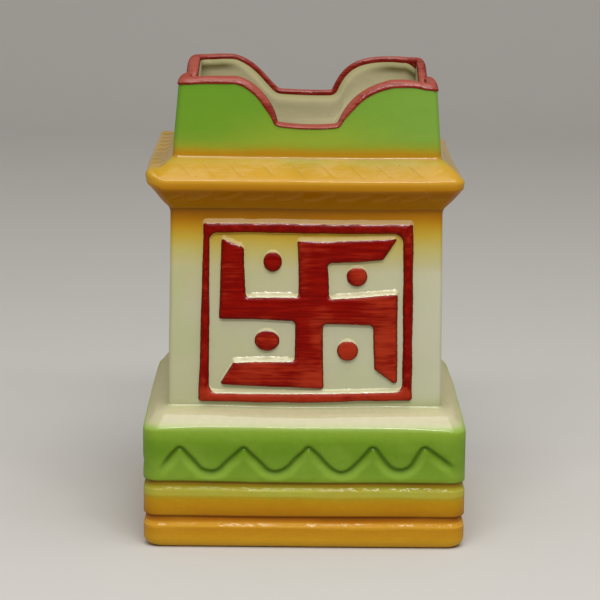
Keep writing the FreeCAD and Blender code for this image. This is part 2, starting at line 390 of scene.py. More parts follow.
class Glaze:
    # a node material in the making

    def __init__(self, name):
        self.material = bpy.data.materials.new(name)
        self.material.use_nodes = True
        self.tree = self.material.node_tree
        self.tree.nodes.clear()
        self.place = self.add("ShaderNodeTexCoord", out="Object")
        self.x = self.add("ShaderNodeSeparateXYZ", {}, {0: self.place}, "X")
        self.z = self.x.beside("Z")

    def add(self, kind, settings=None, values=None, out=0):
        node = self.tree.nodes.new(kind)
        for label, value in (settings or {}).items():
            if label == "stops":
                ramp = node.color_ramp
                while len(ramp.elements) > 1:
                    ramp.elements.remove(ramp.elements[0])
                ramp.elements[0].position, ramp.elements[0].color = value[0]
                for position, colour in value[1:]:
                    ramp.elements.new(position).color = colour
            else:
                setattr(node, label, value)
        for label, value in (values or {}).items():
            if isinstance(value, Knob):
                self.tree.links.new(value.socket, node.inputs[label])
            elif node.inputs[label].type == "VECTOR":
                node.inputs[label].default_value = value[:3]
            else:
                node.inputs[label].default_value = value
        return Knob(self, node.outputs[out]) if node.outputs else None

    def mark(self, name):
        return self.add("ShaderNodeAttribute", {"attribute_name": name}, out="Fac")

    def mix(self, share, first, second):
        return self.add("ShaderNodeMix", {"data_type": "RGBA"},
                        {0: share, 6: glazeColour(first), 7: glazeColour(second)}, 2)

    def tint(self, colour, look, label, mask):
        # a look's colour where its mask is, by its share
        return self.mix(mask * look[label + "Share"], colour, look[label])

    def tintMarks(self, colour, look, *labels):
        # the same where the mesh is marked for it
        for label in labels:
            if label in look:
                colour = self.tint(colour, look, label, self.mark(label))
        return colour

    def mottled(self, colour, amount, *noiseValues, **others):
        # a colour made lighter and darker by a noise
        shade = 1 + (self.noise(*noiseValues, **others) - 0.5) * amount
        return self.add("ShaderNodeVectorMath", {"operation": "SCALE"},
                        {0: glazeColour(colour), "Scale": shade})

    def soften(self, value, low, high):
        return self.add("ShaderNodeMapRange", {"interpolation_type": "SMOOTHSTEP"},
                        {0: value, 1: low, 2: high, 3: 0.0, 4: 1.0})

    def across(self, low, high):
        # 0 to 1 from left to right, between places in millimetres
        return self.soften(self.x, low * mm, high * mm)

    def upward(self, low, high):
        # 0 to 1 between heights in millimetres
        return self.soften(self.z, low * mm, high * mm)

    def within(self, low, high, soft=3):
        # 1 between two heights and 0 beyond them
        return self.upward(low - soft, low + soft) * (1 - self.upward(high - soft, high + soft))

    def facingUp(self, low, high):
        # 0 on walls and 1 on ledges, by the sine of their tilt
        normal = self.add("ShaderNodeNewGeometry", out="Normal")
        return self.soften(self.add("ShaderNodeSeparateXYZ", {}, {0: normal}, "Z"), low, high)

    def edgeOn(self, low, high):
        # 0 where a surface faces the viewer and 1 where it is seen edge on
        return self.soften(self.add("ShaderNodeLayerWeight", {}, {"Blend": 0.5}, "Facing"), low, high)

    def noise(self, size, detail=2.0, rough=0.5, stretch=None, shift=0.0):
        # grains about size millimetres wide, from 0 to 1 round a half; a shift sets two noises apart
        place = self.place
        for operation, amounts in (("MULTIPLY", stretch), ("ADD", (shift,) * 3 if shift else None)):
            if amounts:
                place = self.add("ShaderNodeVectorMath", {"operation": operation}, {0: place, 1: amounts})
        return self.add("ShaderNodeTexNoise", {}, {"Vector": place, "Scale": 1 / (size * mm),
                                                    "Detail": detail, "Roughness": rough}, "Fac")

    def bands(self, height, stops):
        # colours at given heights, in millimetres, with soft runs between them
        low, high = stops[0][0], stops[-1][0]
        spread = [((z - low) / (high - low), glazeColour(colour)) for z, *colour in stops]
        share = (height / mm - low) / (high - low)
        return self.add("ShaderNodeValToRGB", {"stops": spread}, {"Fac": share}, "Color")

    def specks(self, gap, chance, width):
        # sparse round dots: 1 inside a dot
        cell = self.add("ShaderNodeTexVoronoi", {"feature": "F1"},
                        {"Vector": self.place, "Scale": 1 / (gap * mm)}, "Distance")
        tone = self.add("ShaderNodeSeparateColor", {}, {0: cell.beside("Color")})
        chosen = self.add("ShaderNodeMath", {"operation": "LESS_THAN"}, {0: tone, 1: chance})
        return (1 - self.soften(cell, width / gap * 0.5, width / gap)) * chosen

    def gloss(self, colour, roughness, normal, specular):
        return self.add("ShaderNodeBsdfPrincipled", {}, {"Base Color": colour, "Roughness": roughness,
                                                         "Normal": normal, "Specular IOR Level": specular})

    def finish(self, colour, roughness, height, look, dull=0.0):
        look = {**glazing, **look}
        normal = self.add("ShaderNodeBump", {}, {"Height": height, "Distance": look["bump"] * mm})
        shader = self.gloss(colour, roughness, normal, look["wallGloss"])
        if look["ledgeGloss"] != look["wallGloss"]:
            edgeOn = self.edgeOn(*look["grazing"])
            matt = self.gloss(colour, roughness, normal, look["grazeGloss"])
            shader = self.add("ShaderNodeMixShader", {}, {0: edgeOn, 1: shader, 2: matt})
            ledge = self.gloss(colour, roughness, normal, look["ledgeGloss"])
            share = self.facingUp(*look["ledgeTilt"]) * (1 - edgeOn) * (1 - dull)
            shader = self.add("ShaderNodeMixShader", {}, {0: share, 1: shader, 2: ledge})
        self.add("ShaderNodeOutputMaterial", {}, {"Surface": shader})
        return self.material


def bandedGlaze(name, look):
    # soft horizontal bands of glaze outside, cream inside, and bare clay under the foot
    look = {**glazing, **look}
    pot = Glaze(name)
    wander = (pot.noise(look["wanderSize"]) - 0.5) * (look["wander"] * mm * 2)
    if "rightSink" in look:
        wander = wander - pot.across(*look["sinkAcross"]) * (look["rightSink"] * mm)
    colour = pot.bands(pot.z + wander, look["bands"])
    if "patch" in look:
        patch = pot.soften(pot.noise(look["patchSize"], 1.5, shift=0.7), *look["patchEdge"])
        colour = pot.tint(colour, look, "patch", patch * pot.within(*look["patchWithin"]))
    # painted light: lighter towards the right, where more light falls
    if "right" in look:
        right = pot.across(*look["rightAcross"]) * pot.within(*look["rightWithin"])
        colour = pot.tint(colour, look, "right", right)
    if "centre" in look:
        beside = pot.add("ShaderNodeMath", {"operation": "ABSOLUTE"}, {0: pot.x / mm})
        middle = (1 - pot.soften(beside, *look["centreAcross"])) * pot.upward(*look["centreRise"])
        colour = pot.tint(colour, look, "centre", middle * (1 - pot.upward(*look["centreFall"])))
    colour = pot.mottled(colour, look["mottle"], look["mottleSize"], 4.0, 0.62, shift=1.3)
    colour = pot.tintMarks(colour, look, "pool", "thin")
    inner = pot.mottled(look["inside"], look["insideMottle"], look["insideSize"], 3.0)
    colour = pot.mix(pot.mark("inside"), colour, pot.tintMarks(inner, look, "light", "shade"))
    speck = pot.specks(look["speckGap"], look["speckChance"], look["speckWidth"])
    colour = pot.tint(colour, look, "speck", speck)
    roughness = look["roughness"] + pot.noise(look["peelSize"]) * look["roughnessSpread"]
    if "bare" in look:
        bare = 1 - pot.upward(*look["bareBelow"])
        colour = pot.mix(bare, colour, look["bare"])
        roughness = roughness + bare * look["bareRoughness"]
    height = (pot.noise(look["grainSize"]) * look["grain"] + pot.noise(look["peelSize"], 1.0) * look["peel"]
              - speck * look["speckPit"])
    return pot.finish(colour, roughness, height, look, pot.mark("inside") + pot.mark("dull"))


# Plinth courses

moulding = {
    "inset": 1.1,      # how far a course draws in under the one above
    "bank": 1.85,      # height of the slope back out to the face
    "bankRound": 0.9,
    "underRise": 0.05, "underRound": 0.7,
    "corner": 7.4,     # rounding of the plinth's corners, seen from above
    "room": 0.12,      # kept inside the overall size, for the drift
    "step": 0.5,       # distance between rows of points
}
innerStep = 3.0
plinthColumns = ringColumns(230, 16)
plinthFace = half["plinth"] - moulding["room"]
plinthInner = half["plinth"] - clay["wall"]


def courseTop(top, tall):
    # from the face of a course up to its joint
    inset, corner, rounding = moulding["inset"], moulding["corner"], moulding["bankRound"]
    return [(plinthFace, top - tall - moulding["bank"], corner, rounding),
            (plinthFace - inset, top - tall, corner - inset, rounding),
            (plinthFace - inset, top, corner - inset, 0)]


def courseFoot(low):
    inset, corner = moulding["inset"], moulding["corner"]
    return [(plinthFace - inset, low, corner - inset, 0),
            (plinthFace, low + moulding["underRise"], corner, moulding["underRound"])]


def innerWall(*spots):
    # corners going down, as half width, height and, where there is one, rounding
    corners = [(h, z, clay["innerCorner"], rounding[0] if rounding else 0) for h, z, *rounding in spots]
    return openPath(corners, innerStep)


footLook = {
    "footRound": 4.8, "ledge": 8.0, "tall": 3.0,     # the drawn-in strip's height
    # painted light: lighter on the bottom rounding, which sits in shade, and a painted highlight on the bank
    # at 10 to 12 mm; darker up to the joint, where glaze pools and painted shade falls
    "bands": [(0, 204, 156, 34), (2.5, 206, 156, 32), (5, 188, 138, 26), (9, 184, 128, 20),
              (10.2, 200, 148, 40), (11.6, 200, 142, 38), (12.8, 172, 106, 10), (13.8, 144, 82, 4),
              (14.8, 124, 68, 2)],
    "wander": 1.0, "mottle": 0.12, "patch": (192, 142, 34), "patchSize": 38, "patchShare": 0.35,
    "grain": 1.1, "ledgeGloss": 0.22,
    "bare": (196, 170, 138), "bareBelow": (0.15, 0.5), "bareRoughness": 0.7,    # the clay it stands on
}


def footCourse():
    top, slab, ledge = level["footTop"], level["slabFoot"], plinthInner - footLook["ledge"]
    foot = [(ledge, 0, clay["innerCorner"], 0), (plinthFace, 0, moulding["corner"], footLook["footRound"])]
    outer = openPath(foot + courseTop(top, footLook["tall"]), moulding["step"])
    inside = innerWall((plinthInner, top), (plinthInner, slab), (ledge, slab))
    ringPiece("footCourse", outer, inside, plinthColumns, footLook, ["foot_course"])


middleLook = {
    "tall": 2.1,
    # painted highlight: lighter on the bank at 24 to 27 mm; darker towards both joints, where glaze pools,
    # with painted shade
    "bands": [(14.6, 136, 78, 4), (15.6, 158, 104, 8), (19, 174, 122, 10), (22.0, 174, 132, 16),
              (23.4, 160, 142, 30), (24.4, 168, 166, 62), (26.4, 166, 168, 66), (27.8, 142, 140, 36),
              (28.8, 130, 112, 22), (30.0, 116, 88, 10)],
    "wander": 0.8, "mottle": 0.12, "patch": (182, 140, 24), "patchSize": 42, "patchShare": 0.25,
    "grain": 1.1, "ledgeGloss": 0.16,
}


def middleCourse():
    low, top = level["footTop"], level["middleTop"]
    outer = openPath(courseFoot(low) + courseTop(top, middleLook["tall"]), moulding["step"])
    inside = innerWall((plinthInner, top), (plinthInner, low))
    ringPiece("middleCourse", outer, inside, plinthColumns, middleLook, ["middle_course"])


waveLook = {
    "bandTop": 55.0, "edgeRound": 2.6, "pillow": (66.4, 59.9), "pillowRound": 8.0, "creaseRound": 1.4,
    "crease": 62.0, "shaftCorner": 2.2, "sag": 2.1, "sagReach": 66.0, "sagFrom": 47, "step": 0.42,
    "innerSlope": 2.5,                                # how far below the edges the inside turns in
    "depth": 1.1, "steepBank": 1.5, "gentleBank": 4.4, "gentlePower": 1.5, "fade": 4.0, "overrun": 1.5,
    "rising": (37.5, 43.5), "peakBank": 0.6,          # up the peaks the gentle bank loses this share
    "waver": 0.12, "waverLengths": (7.0, 6.0), "sideGap": 90,
    "turnWander": (1.1, 0.66),                        # how far the other sides' turns wander, along and up
    "peakRadius": 1.6, "valleyRadius": 6.8,
    "bands": [(30.2, 104, 90, 10), (31.0, 112, 134, 32), (33, 116, 148, 42), (38, 108, 142, 38),
              (44, 99, 134, 29), (48, 103, 139, 30), (53.0, 130, 162, 50), (54.6, 150, 176, 82),
              (55.8, 182, 186, 130), (57.2, 191, 186, 147), (60.5, 193, 185, 147), (62.6, 180, 180, 136)],
    "wander": 0.4, "wanderSize": 34, "mottle": 0.2, "mottleSize": 3.2,
    "patch": (130, 158, 54), "patchSize": 13, "patchShare": 0.30, "patchWithin": (20, 51),
    # dark glaze pooled in the wave line, and painted shade above it where the wall curves in under the lip
    "pool": (56, 88, 6), "poolShare": 0.72, "poolAndShadeWidths": (1.5, 0.85),        # above the line and below it
    # painted highlight: a lighter band just below the line, where the bank faces up, weaker up the peaks
    "thin": (142, 172, 64), "thinShare": 0.42, "thinAndHighlightAt": (2.8, 1.3), "thinAndHighlightLoss": 0.8,
    "dullFrom": (1.6, 3.2),
}
# the wave's turning points on the front, left to right, cut by hand: x and height
frontWave = [(-63.5, 36.2), (-54.6, 45.0), (-41.6, 34.6), (-26.6, 45.6), (-12.5, 35.3), (1.9, 46.5),
             (16.4, 35.1), (30.5, 45.9), (42.6, 36.0), (52.6, 46.0), (66.0, 37.2)]


def wavePath(spots):
    # rounding draws a turn back, so each corner is set out beyond its turning point
    corners, inner = list(spots), range(1, len(spots) - 1)
    peaks = [spots[i][1] > spots[i - 1][1] for i in inner]
    radii = [waveLook["peakRadius"] if peak else waveLook["valleyRadius"] for peak in peaks]
    for _ in range(8):    # rounds enough to settle
        before = list(corners)
        for i, peak, radius in zip(inner, peaks, radii):
            x, z = spots[i]
            slopes = [abs(before[k][1] - before[i][1]) / abs(before[k][0] - x) for k in (i - 1, i + 1)]
            beyond = radius * (math.hypot(1, sum(slopes) / 2) - 1)
            corners[i] = (x, z + beyond if peak else z - beyond)
    return roundedPath(corners, [0] + radii + [0], innerStep, closed=False)


def wavePaths():
    # one hand-cut wave a side: the others repeat the front's rhythm, a little differently
    paths = []
    for side in range(4):
        chance = np.random.default_rng(40 + side)
        spots = []
        for x, z in frontWave:
            dx, dz = (0, 0) if side == 0 else chance.uniform(-1, 1, 2) * waveLook["turnWander"]
            spots.append((x + dx if side in (0, 3) else -x + dx, z + dz))
        paths.append(wavePath(sorted(spots)))
    return paths


def waveCourse():
    look = waveLook
    low, top, edge = level["middleTop"], level["shaftFoot"], look["bandTop"]
    shaft, corner = half["shaftFoot"], moulding["corner"]
    paths = wavePaths()
    waverX, waverZ = (Swell(seed, length) for seed, length in zip((51, 52), look["waverLengths"]))

    def relief(sides, x, z, flat):
        push, pool, thin, dull = np.zeros((4, *x.shape))
        band = (z > low + 1.2) & (z < edge - 2)
        for side in range(4):
            mine = band & (sides == side)
            spread = np.stack([x[mine], 0 * x[mine] + side * look["sideGap"], z[mine]], -1)
            px = x[mine] + look["waver"] * waverX.at(spread)
            pz = z[mine] + look["waver"] * waverZ.at(spread)
            distance, above = pathDistance(px, pz, paths[side])
            start, end = paths[side][[0, -1], 0]
            ends = span(px, (start - look["overrun"], start + look["fade"]),
                        (end - look["fade"], end + look["overrun"]))
            steep = 1 - smoothStep(0.0, look["steepBank"], distance)
            rising = smoothStep(*look["rising"], pz)
            gentleBank = look["gentleBank"] * (1 - look["peakBank"] * rising)
            gentle = (1 - np.clip(distance / gentleBank, 0, 1)) ** look["gentlePower"]
            push[mine] = -look["depth"] * np.where(above > 0, steep, gentle) * ends
            # pooled glaze in the line, and painted shade spread wider above it
            pool[mine] = hump(distance, 0, np.where(above > 0, *look["poolAndShadeWidths"])) * ends
            # painted highlight on the bank below the line, fading up the peaks
            below = (above < 0) * ends * (1 - look["thinAndHighlightLoss"] * rising)
            thin[mine] = hump(distance, *look["thinAndHighlightAt"]) * below
            dull[mine] = (1 - smoothStep(*look["dullFrom"], distance)) * rising
        near = np.abs(flat).min(-1) / look["sagReach"]
        weight = span(z, (look["sagFrom"], edge), (edge + 1, top))
        return push, -look["sag"] * (near ** 2 - 0.25) * weight, {"pool": pool, "thin": thin, "dull": dull}

    outer = openPath(courseFoot(low) + [(plinthFace, edge, corner, look["edgeRound"]),
                                        (*look["pillow"], corner - 1.5, look["pillowRound"]),
                                        (shaft, look["crease"], look["shaftCorner"], look["creaseRound"]),
                                        (shaft, top + 1, look["shaftCorner"], 0)], look["step"])
    shaftInner, slope = shaft - clay["wall"], look["innerSlope"]
    inside = innerWall((shaftInner, top), (shaftInner, top - slope),
                       (plinthInner, edge - slope), (plinthInner, low))
    ringPiece("waveCourse", stretch(outer, low, top), inside, ringColumns(290, 16), look, ["wave_course"],
              relief)


# Floor with its drain hole

slabLook = {
    "drain": 6.0, "lip": 0.8, "edge": 0.3, "gap": 0.3, "lift": 0.02, "step": 2.5,
    "colour": (176, 168, 126), "mottle": 0.16, "mottleSize": 12, "bump": 0.15,
    "clay": (188, 160, 126), "clayBelow": (0.5, 1.5),
    "roughness": (0.75, 0.15),                   # of the clay and of the glaze
}


def floorSlab():
    look = slabLook
    low, top, drain = level["slabFoot"] + look["lift"], level["slabTop"], look["drain"]
    outer, c = plinthInner - look["gap"], clay["innerCorner"]
    profile = roundedPath([(drain, low), (outer, low), (outer, top), (drain, top)],
                          [look["lip"], look["edge"], look["edge"], look["lip"]], look["step"])
    sides, alongs, turns = ringColumns(26, 3)
    rim = squarePlace(sides, turns, outer, alongs * (outer - c), c)
    hole = rim / np.linalg.norm(rim, axis=1)[:, None] * drain
    share = ((profile[:, 0] - drain) / (outer - drain))[:, None, None]
    points = raised(partWay(hole, rim, share), profile[:, 1:])
    pot = Glaze("floorSlabGlaze")
    up = pot.upward(*(low + height for height in look["clayBelow"]))
    colour = pot.mottled(pot.mix(up, look["clay"], look["colour"]), look["mottle"], look["mottleSize"], 4.0)
    material = pot.finish(colour, partWay(*look["roughness"], up), pot.noise(2.0, 3.0), look)
    gridPiece("floorSlab", points, {}, material, ["floor_slab"])


# One outline runs up the shaft, under the cornice, over its nose and up the trough

throat = {
    "shaftCorner": 2.2, "noseCorner": 5.5, "troughCorner": 3.0,
    "from": 130.0, "fromOut": 0.2, "neck": 140.0,
    "soffitFoot": 149.9, "soffitRound": 4.6, "noseDrop": 0.6, "noseLow": 159.5, "noseLowRound": 2.0,
    "noseHigh": 163.5, "noseHighRound": 2.8, "crease": 172.7, "creaseRound": 2.1,
    "top": 190.0, "topIn": 1.1, "step": 0.42,
}
throatLine = openPath([
    (half["shaftTop"] + throat["fromOut"], throat["from"], throat["shaftCorner"], 0),
    (half["shaftTop"], throat["soffitFoot"], throat["shaftCorner"], throat["soffitRound"]),
    (half["ridge"] - throat["noseDrop"], throat["noseLow"], throat["noseCorner"], throat["noseLowRound"]),
    (half["ridge"], throat["noseHigh"], throat["noseCorner"], throat["noseHighRound"]),
    (half["troughFoot"], throat["crease"], throat["troughCorner"], throat["creaseRound"]),
    (half["troughFoot"] - throat["topIn"], throat["top"], throat["troughCorner"], 0)], throat["step"])


# Shaft

shaftLook = {
    "step": 1.6,
    "bands": [(62, 172, 172, 128), (64.5, 178, 178, 138), (80, 180, 178, 143), (105, 183, 180, 148),
              (124, 184, 178, 134), (131, 185, 173, 101), (137, 187, 158, 56), (141.5, 182, 136, 24),
              (145, 166, 110, 8), (148, 142, 88, 2), (151, 124, 76, 1)],
    "wander": 2.2, "wanderSize": 30, "mottle": 0.05, "patch": (168, 178, 122), "patchSize": 34,
    "patchShare": 0.4, "patchWithin": (62, 124), "grain": 0.3, "bump": 0.13,
    # the bands sit lower on the right; and the right side is lighter as painted light, where more light
    # falls
    "rightSink": 1.6, "right": (198, 197, 180), "rightShare": 0.42, "rightWithin": (66, 124),
}


def shaftBlock():
    low, top = level["shaftFoot"], level["shaftTop"]
    neck = stretch(throatLine, throat["neck"], top)
    wall = openPath([(half["shaftFoot"], low, throat["shaftCorner"], 0), (*neck[0], 0)], shaftLook["step"])
    inside = innerWall((half["shaftTop"] - clay["wall"], top), (half["shaftFoot"] - clay["wall"], low))
    ringPiece("shaftBlock", np.vstack([wall[:-1], neck]), inside, ringColumns(70, 10), shaftLook, ["shaft"])


# Cornice with its leaf carving

corniceLook = {
    "strokePitch": 12.7, "strokeStart": 0.35, "strokeLean": 10.4, "strokeDepth": 0.42, "strokeWidth": 0.7,
    "strokeWander": 1.5, "wanderLength": 34.0,
    "strokeShares": (0.10, 1.0, 0.7, 1.0),   # how plain the strokes are on the front, right, back and left
    "leafPitch": 13.4, "leafDepth": 0.3, "leafWidth": 0.6, "leafShares": (0.9, 0.9, 0.7, 0.9),
    "leafFoot": 4.0, "leafRise": 2.2, "leafEnd": 0.9,
    "cornerLifts": (0.3, 1.3, 1.0, 0), "liftReach": 67.0, "liftWidth": 16.0,
    "leftLift": 2.7, "liftFrom": (61, 68),       # the left side stands up
    "leftFlare": (1.1, 0.8), "rightDraw": 0.5,   # and out, and the right side is drawn in
    "flareFrom": (63, 68.5), "flareAlong": (-60, -15), "flareEnd": (58, 68),
    "hollowIn": 7.5, "hollowRound": 2.0, "hollowTop": 2.5, "hollowFoot": 3.5,
    "ledgeGloss": 0.30, "grazeGloss": 0.05,
    "bands": [(150.5, 156, 104, 4), (154, 156, 102, 2), (158.0, 148, 92, 0), (159.6, 162, 104, 2),
              (161.4, 178, 122, 12), (163.2, 190, 140, 38), (166, 186, 143, 34), (169.0, 177, 140, 34),
              (171.2, 162, 146, 48), (172.2, 158, 134, 36), (172.8, 162, 120, 20)],
    "wander": 0.6, "mottle": 0.08, "patch": (200, 152, 48), "patchSize": 30, "patchShare": 0.4,
    "patchWithin": (163, 200), "pool": (98, 50, 10), "poolShare": 0.85, "bump": 0.10,
}


def corniceRing():
    look = corniceLook
    low, top = level["shaftTop"], level["troughFoot"]
    noseLow, noseHigh = throat["noseLow"], throat["noseHigh"]
    trough = half["troughFoot"]
    strokeShares, leafShares = np.array(look["strokeShares"]), np.array(look["leafShares"])
    wanderAlong = Swell(31, look["wanderLength"])

    def relief(sides, x, z, flat):
        drift = wanderAlong.at(raised(flat, z)) * look["strokeWander"]
        slope = span(z, (noseHigh + 0.8, noseHigh + 2.4), (top - 3.4, top - 1.8))
        soffit = span(z, (low + 1.6, low + 3.0), (noseLow - 2.0, noseLow - 0.8))
        inCorner = 1 - smoothStep(trough - 3, trough + 4, np.abs(x))
        lean = x + drift + (z - noseHigh) / (top - noseHigh) * look["strokeLean"]
        gap = np.abs((lean / look["strokePitch"] + look["strokeStart"]) % 1 - 0.5) * look["strokePitch"]
        stroke = hump(gap, 0, look["strokeWidth"]) * slope * inCorner * strokeShares[sides]
        leaf = ((x + drift) / look["leafPitch"]) % 1
        climb = low + look["leafFoot"] + look["leafRise"] * smoothStep(0.1, 0.8, leaf) ** 2
        end = hump((leaf - look["leafEnd"]) * look["leafPitch"], 0, look["leafWidth"])
        rib = np.maximum(hump(z, climb, look["leafWidth"]) * (leaf < look["leafEnd"] + 0.02),
                         end * (z > low + look["leafFoot"] - 0.2))
        rib = rib * soffit * inCorner * leafShares[sides]
        push = look["leafDepth"] * rib - look["strokeDepth"] * stroke
        shares = cornerShares(flat, look["liftReach"], look["liftWidth"])
        lift = sum(height * share for height, share in zip(look["cornerLifts"], shares))
        across, depth = flat[..., 0], flat[..., 1]
        lift = lift + look["leftLift"] * smoothStep(*look["liftFrom"], -across)
        near, further = look["leftFlare"]
        flare = near + further * smoothStep(*look["flareAlong"], depth)
        flare = flare * (1 - smoothStep(*look["flareEnd"], depth)) * smoothStep(*look["flareFrom"], -across)
        weight = span(z, (low, noseLow), (noseHigh, top))
        push = push + weight * (flare - look["rightDraw"] * smoothStep(*look["flareFrom"], across))
        return push, lift * weight, {"pool": stroke}

    hollow, rounding = half["ridge"] - look["hollowIn"], look["hollowRound"]
    shaftInner, troughInner = half["shaftTop"] - clay["wall"], trough - clay["wall"]
    inside = innerWall((troughInner, top), (troughInner, top - look["hollowTop"]),
                       (hollow, noseHigh, rounding), (hollow, noseLow, rounding),
                       (shaftInner, low + look["hollowFoot"]), (shaftInner, low))
    ringPiece("corniceRing", stretch(throatLine, low, top), inside, ringColumns(250, 14), look, ["cornice"],
              relief)


# Trough wall and the rim bead on it

# each side's rim, seen from outside, left to right: its heights at the two ends, how much the opening's
# floor sags, and how the line falls to it and rises again. Four points steer each curve: x and height
rimSides = [
    {"ends": (207.4, 206.7), "sag": 0.8,
     "fall": [(-33.2, 207.4), (-26.6, 208.5), (-14.9, 199.7), (-12.7, 187.9)],
     "rise": [(12.8, 187.4), (17.5, 198.9), (25.4, 204.2), (37, 206.4)]},
    {"ends": (206.0, 207.0), "sag": 0.5,
     "fall": [(-40, 206.4), (-32, 206.4), (-20, 197.5), (-13.2, 188.0)],
     "rise": [(12.6, 188.2), (20.0, 197.0), (30, 206.8), (42, 207.0)]},
    {"ends": (206.9, 207.5), "sag": 0.3,
     "fall": [(-40, 206.7), (-24, 206.6), (-17.5, 203.0), (-12.4, 190.4)],
     "rise": [(12.6, 190.9), (17.2, 194.0), (24.5, 207.0), (36, 207.4)]},
    {"ends": (207.5, 207.1), "sag": 0.5,
     "fall": [(-36, 207.5), (-28, 207.4), (-19, 197.5), (-12.8, 188.0)],
     "rise": [(12.9, 187.8), (19, 197.5), (30, 207.1), (40, 207.1)]},
]
rimLook = {
    "sideCount": 230, "cornerCount": 14, "groundCount": 12, "corner": 3.4, "innerCorner": 5.0,
    "trueWithin": (0.55, 0.95),     # x is true in the openings, and square beyond these shares of the reach
    "plateauBand": 3.35, "floorBand": 1.9, "plateauFrom": 187.0, "plateauAt": 197.0,
    "poolDepth": 2.8, "poolWidth": 9.0,              # the red runs down the inside of the back right corner
    # at the front right, back right, back left and front left corners
    "innerBands": (2.15, 2.6, 2.2, 2.15),            # how far the red reaches down the inside
    "dips": (1.3, 0.5, 0.4, 0.4), "dipWidth": 4.6,   # how far the rim's line dips there
    "leans": (0.1, 0.5, 1.1, 0.4),                   # how far the wall leans in
    "thickness": (0.95, 0.80, 1.10, 1.05),           # how thick it is, against the usual
    "blend": (-40, 40),                              # where a side turns from one corner's value to the next
}
rimReach = half["rimTop"] - rimLook["corner"]


def steered(points, count=36):
    # a smooth curve from the first point to the last, steered by the two between
    a, b, c, d = (np.array(p, float) for p in points)
    t = np.linspace(0, 1, count)[:, None]
    return (1 - t) ** 3 * a + 3 * (1 - t) ** 2 * t * b + 3 * (1 - t) * t * t * c + t ** 3 * d


def rimStations():
    # places along the rim's line, side by side: side, x, height, slope, turn in the corner
    look = rimLook
    lines, rows = [], []
    for side, spots in enumerate(rimSides):
        fall, rise = steered(spots["fall"]), steered(spots["rise"])
        share = np.linspace(0, 1, look["groundCount"] + 2)[1:-1, None]
        ground = partWay(fall[-1], rise[0], share)
        ground[:, 1] -= spots["sag"] * 4 * (share * (1 - share))[:, 0]
        start, end = ([(x, z)] for x, z in zip((-rimReach, rimReach), spots["ends"]))
        path = evenly(np.vstack([start, fall, ground, rise, end]), look["sideCount"])
        path[1:-1, 1] = softened(path[:, 1], 3)[1:-1]
        for end, dip in ((-1, look["dips"][side - 1]), (1, look["dips"][side])):
            path[:, 1] -= dip * hump(path[:, 0], end * rimReach, look["dipWidth"])
        lines.append(path)
    for side, path in enumerate(lines):
        ahead = np.gradient(path, axis=0)
        slopes = softened(np.arctan2(ahead[:, 1], ahead[:, 0]), 2)
        rows += [(side, x, z, slope, 0) for (x, z), slope in zip(path, slopes)]
        here, following = path[-1, 1], lines[(side + 1) % 4][0, 1]
        for share in np.linspace(0, 1, look["cornerCount"] + 2)[1:-1]:
            rows.append((side, rimReach, partWay(here, following, share), 0, share * math.pi / 2))
    return np.array(rows)


def bandWidth(z):
    # how far the red reaches down the outside
    return partWay(rimLook["floorBand"], rimLook["plateauBand"],
                   smoothStep(rimLook["plateauFrom"], rimLook["plateauAt"], z))


def between(stations, label):
    # the corners' values spread along the sides
    values = np.array(rimLook[label])
    sides = stations[:, 0].astype(int)
    return partWay(values[sides - 1], values[sides], smoothStep(*rimLook["blend"], stations[:, 1]))


def innerBand(stations):
    pool = (stations[:, 0] == 1) * hump(stations[:, 1], rimReach, rimLook["poolWidth"])
    pool *= 1 - smoothStep(0, math.pi / 2, stations[:, 4])
    return between(stations, "innerBands") + rimLook["poolDepth"] * pool


def rimPoint(stations, depth, drop, below=0.0):
    # a point behind the outer face and square below the rim's line, then straight down
    look = rimLook
    sides = stations[:, 0].astype(int)
    x, z, slope, turns = stations.T[1:]
    px = x + drop * np.sin(slope)
    pz = z - drop * np.cos(slope) - below
    lean = between(stations, "leans") * smoothStep(level["troughFoot"], level["rimTop"], pz)
    thickness = between(stations, "thickness") if depth > 0 else 1
    h = wallHalf(pz, "troughFoot", "rimTop") - lean - depth * thickness
    c = partWay(look["corner"], look["innerCorner"], np.clip(depth / clay["wall"], 0, 1))
    along = px * (h - c) / rimReach
    low, high = (share * rimReach for share in look["trueWithin"])
    along = partWay(along, px, 1 - smoothStep(low, high, np.abs(px)))
    return raised(squarePlace(sides, turns, h, along, c), pz)


def footPoint(stations, depth, z, h):
    # a point at the foot of the trough below a station
    c = partWay(throat["troughCorner"], rimLook["innerCorner"], depth / clay["wall"])
    along = stations[:, 1] * (h - depth - c) / rimReach
    return raised(squarePlace(stations[:, 0].astype(int), stations[:, 4], h - depth, along, c), z)


def rowsTo(start, end, count):
    # even rows of points, from just after the start to the end
    return [partWay(start, end, k / count) for k in range(1, count + 1)]


